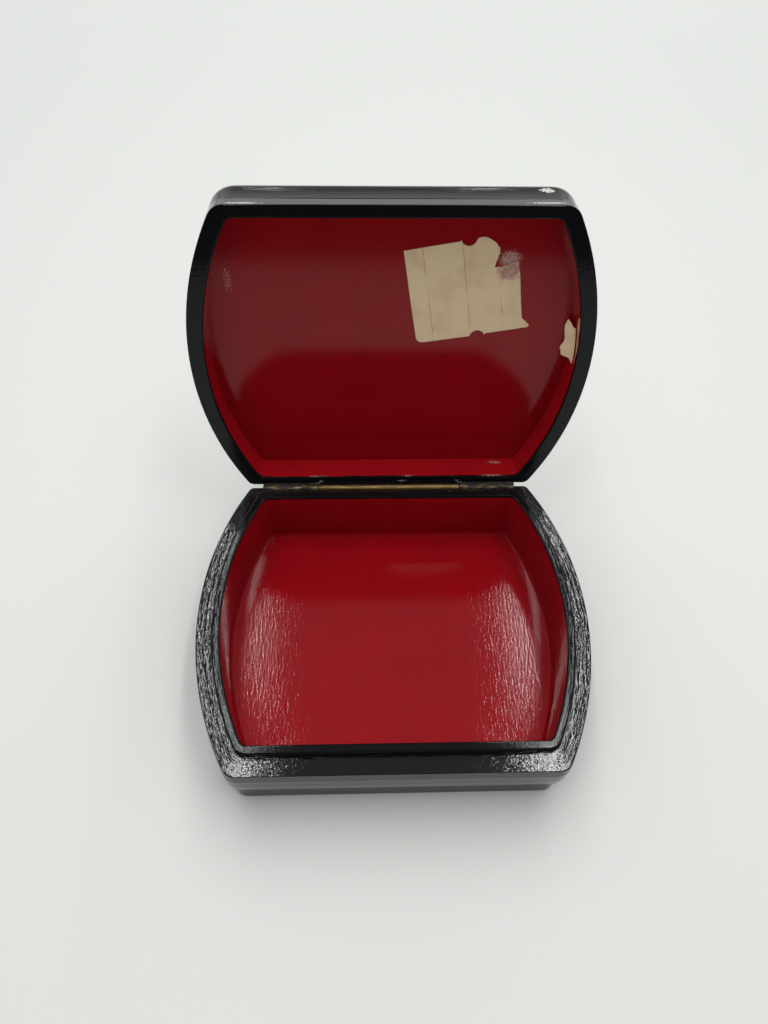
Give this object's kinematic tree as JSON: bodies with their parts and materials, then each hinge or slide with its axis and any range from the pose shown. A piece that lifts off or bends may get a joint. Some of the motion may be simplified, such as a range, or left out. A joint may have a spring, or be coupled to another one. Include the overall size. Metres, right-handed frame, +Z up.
{
  "type": "hinged lacquer box",
  "caption": "Small barrel-plan lacquered display box with a hinged lid, black outside and red inside, for pins or trinkets.",
  "frame": {"origin": "middle of the underside of the base, on the surface it rests on", "axes": "+X to the right across the box, +Y from the front towards the hinge, +Z up; the lid stands open at rest"},
  "size_m": [0.0658, 0.0717, 0.0635],
  "materials": {
    "black_lacquer": "black lacquer over pressed paper board, hand brushed and glossy",
    "red_lacquer": "deep red lacquer, glossy, brushed by hand",
    "brass": "old brass, dark with age and partly painted over",
    "aged_paper": "aged tan paper"
  },
  "bodies": {
    "base": {"bottom_board": "red_lacquer", "foot_band": "black_lacquer", "base_wall": "black_lacquer", "inner_sleeve": "red_lacquer", "floor_cove": "red_lacquer", "hinge_knuckle_left": "brass", "hinge_knuckle_right": "brass", "hinge_pin": "brass"},
    "lid": {"lid_wall": "black_lacquer", "lid_moulding": "black_lacquer", "lid_top_board": "black_lacquer", "hinge_knuckle_centre": "brass", "price_label": "aged_paper", "paper_scrap": "aged_paper"}
  },
  "joints": [
    {"name": "lid_hinge", "type": "hinge", "parent": "base", "child": "lid", "pos_m": [0, 0.0263, 0.01265], "axis": [1, 0, 0], "range_deg": [0, 102.6]}
  ]
}
